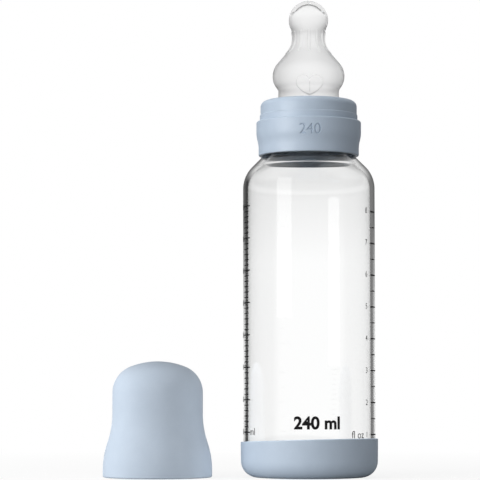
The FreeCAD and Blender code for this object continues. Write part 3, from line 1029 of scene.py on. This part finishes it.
def make_world():
    """White studio surroundings that give soft, weaker light of their own."""
    world = bpy.data.worlds.new("studio")
    bpy.context.scene.world = world
    world.use_nodes = True
    tree = world.node_tree
    tree.nodes.clear()
    direction = add(tree, "TexCoord").outputs["Generated"]
    strength = chosen(tree, seen_directly(tree), soft_light(tree, direction), studio_white(tree, direction))
    background = add(tree, "Background", {"Color": (1, 1, 1, 1), "Strength": strength})
    output = add(tree, "OutputWorld")
    tree.links.new(background.outputs[0], output.inputs["Surface"])


def make_floor():
    """Pale floor that is white to the eye and keeps the object's soft shadow."""
    disc = bmesh.new()
    bmesh.ops.create_circle(disc, cap_ends=True, segments=FLOOR_SEGMENTS, radius=FLOOR_RADIUS)
    mesh = bpy.data.meshes.new("floor")
    disc.to_mesh(mesh)
    disc.free()
    floor = bpy.data.objects.new("floor", mesh)
    floor.location.z = -FLOOR_DROP
    bpy.context.scene.collection.objects.link(floor)
    material = bpy.data.materials.new("floor_white")
    material.use_nodes = True
    tree = material.node_tree
    tree.nodes.clear()
    place = add(tree, "NewGeometry").outputs["Position"]
    away = add(tree, "VectorMath", {0: place}, operation="LENGTH").outputs["Value"]
    glow = ranged(tree, away, SHADOW_CORE, SHADOW_REACH, FLOOR_GLOW, 1.0)
    seen = seen_directly(tree)
    bounce = chosen(tree, met(tree, "Transmission"), FLOOR_BOUNCE, FLOOR_BOUNCE_BEHIND_GLASS)
    grey = chosen(tree, seen, bounce, FLOOR_WHITE)
    matte = add(tree, "BsdfDiffuse", {"Color": grey})
    shine = calculated(tree, "MULTIPLY", glow, seen)
    outward = add(tree, "VectorMath", {0: place}, operation="NORMALIZE").outputs["Vector"]
    table = ranged(tree, away, TABLE_FROM, TABLE_FULL, TABLE_LEVEL, 1.0)
    darker = chosen(tree, met(tree, "Glossy"), 1.0, table)
    level = calculated(tree, "MULTIPLY", studio_white(tree, outward), darker)
    white = add(tree, "Emission", {"Color": (1, 1, 1, 1), "Strength": level})
    both = add(tree, "MixShader", {0: shine, 1: matte.outputs[0], 2: white.outputs[0]})
    output = add(tree, "OutputMaterial")
    tree.links.new(both.outputs[0], output.inputs["Surface"])
    mesh.materials.append(material)


def soft_box(name, place, aim, size, power, lights=True, shines=True):
    """Rectangular lamp that never shows itself, and that lights matte surfaces, shines in gloss, or both."""
    lamp = bpy.data.lights.new(name, "AREA")
    lamp.shape = "RECTANGLE"
    lamp.size, lamp.size_y = size
    lamp.energy = power
    box = bpy.data.objects.new(name, lamp)
    box.location = place
    box.rotation_euler = (Vector(aim) - Vector(place)).to_track_quat("-Z", "Y").to_euler()
    box.visible_camera = False
    box.visible_transmission = False
    box.visible_diffuse = lights
    box.visible_glossy = shines
    bpy.context.scene.collection.objects.link(box)
    return box


def only_on(box, *pieces):
    """Lets a lamp light these pieces alone, with no shadow of the others on them."""
    lit = bpy.data.collections.new(box.name + "_lit")
    for piece in pieces:
        lit.objects.link(piece)
    box.light_linking.receiver_collection = lit
    box.light_linking.blocker_collection = lit


def all_but(name, pieces):
    """Collection that stands for everything but these pieces in a lamp's linking."""
    others = bpy.data.collections.new(name)
    for piece in pieces:
        others.objects.link(piece)
    for linked in others.collection_objects:
        linked.light_linking.link_state = "EXCLUDE"
    return others


def not_on(box, *pieces):
    """Keeps a lamp's light off these pieces."""
    box.light_linking.receiver_collection = all_but(box.name + "_lit", pieces)


def passes(box, *pieces):
    """Lets a lamp's light through these clear pieces, which would else cast full shadows."""
    box.light_linking.blocker_collection = all_but(box.name + "_blocked", pieces)


def make_lights(glass, sleeve, collar, cap):
    """Lamps for the bottle, the inside of its sleeve and the cap, and boxes that only shine in gloss."""
    key = soft_box(
        "key", place=(-0.80, -0.67, 0.34), aim=(0, 0, 0.1), size=(1.1, 0.9), power=11.2, shines=False
    )
    not_on(key, cap)
    overhead = soft_box("overhead", place=(-0.1, 0.0, 1.1), aim=(0, 0, 0), size=(0.7, 0.7), power=3.0)
    not_on(overhead, cap, glass)
    passes(overhead, glass)
    sleeve_fill = soft_box(
        "sleeve_fill", place=(0, 0, 1.5), aim=(0, 0, 0), size=(0.1, 0.1), power=8.0, shines=False
    )
    only_on(sleeve_fill, sleeve)
    glow = soft_box(
        "satin_glow", place=(-0.75, -0.55, 0.25), aim=(0, 0, 0.12), size=(0.4, 0.6), power=4.5, lights=False
    )
    only_on(glow, sleeve, collar)
    left_strip = soft_box(
        "left_strip", place=(-0.66, -0.66, 0.34), aim=(0, 0, 0.34), size=(0.44, 0.48), power=1.46,
        lights=False,
    )
    only_on(left_strip, glass)
    right_strip = soft_box(
        "right_strip", place=(0.62, -0.70, 0.13), aim=(0, 0, 0.13), size=(0.32, 0.14), power=0.31,
        lights=False,
    )
    only_on(right_strip, glass)
    cap_middle = (-0.065, 0, 0.03)
    cap_key = soft_box(
        "cap_key", place=(-0.89, -0.31, 0.3), aim=cap_middle, size=(0.5, 0.7), power=8.8, shines=False
    )
    only_on(cap_key, cap)
    cap_fill = soft_box(
        "cap_fill", place=(0.70, -0.25, 0.15), aim=cap_middle, size=(0.5, 0.5), power=2.9, shines=False
    )
    only_on(cap_fill, cap)


def make_camera():
    """Camera at the photograph's viewpoint."""
    lens = bpy.data.cameras.new("camera")
    lens.sensor_width = SENSOR_WIDTH
    lens.lens = FOCAL_PIXELS / PICTURE_WIDTH * SENSOR_WIDTH
    lens.clip_end = CLIP_END
    camera = bpy.data.objects.new("camera", lens)
    camera.location = Vector(CAMERA_PLACE) * MM
    camera.rotation_euler = (math.radians(90 + CAMERA_PITCH), 0, 0)
    bpy.context.scene.collection.objects.link(camera)
    bpy.context.scene.camera = camera


bpy.context.scene.view_settings.view_transform = "Standard"
make_camera()
make_world()
make_floor()

collar_finish = satin_blue("collar_blue", COLLAR_BLUE, COLLAR_SHADE, grain=0.25, roughness=0.45)
sleeve_finish = satin_blue("sleeve_blue", SLEEVE_BLUE, SLEEVE_SHADE, grain=0.2, roughness=0.6)
cap_finish = satin_blue("cap_blue", CAP_BLUE, CAP_SHADE, grain=0.2, roughness=0.55)
enamel = print_enamel()
tip_skin = polished_silicone("polished_skin", IOR=1.3, Alpha=0.3)
tip_lining = frosted_lining()
lining = polished_silicone("inner_lining", IOR=1.01)
glass = dressed(make_glass(), [clear_glass()], "bottle", "clear_glass", "glass_bottle")
sleeve = dressed(make_sleeve(), [sleeve_finish], "sleeve", "sleeve_silicone", "base_sleeve")
collar = dressed(make_collar(), [collar_finish], "collar", "collar_plastic", "collar_ring")
dressed(make_teat(), [frosted_silicone(), tip_skin, tip_lining, lining], "teat", "teat_silicone", "teat")
cap = dressed(make_cap(), [cap_finish], "cap", "cap_plastic", "cap")
make_lights(glass, sleeve, collar, cap)
for print_piece in make_prints():
    print_piece.data.materials.append(enamel)
    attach(print_piece, "bottle")
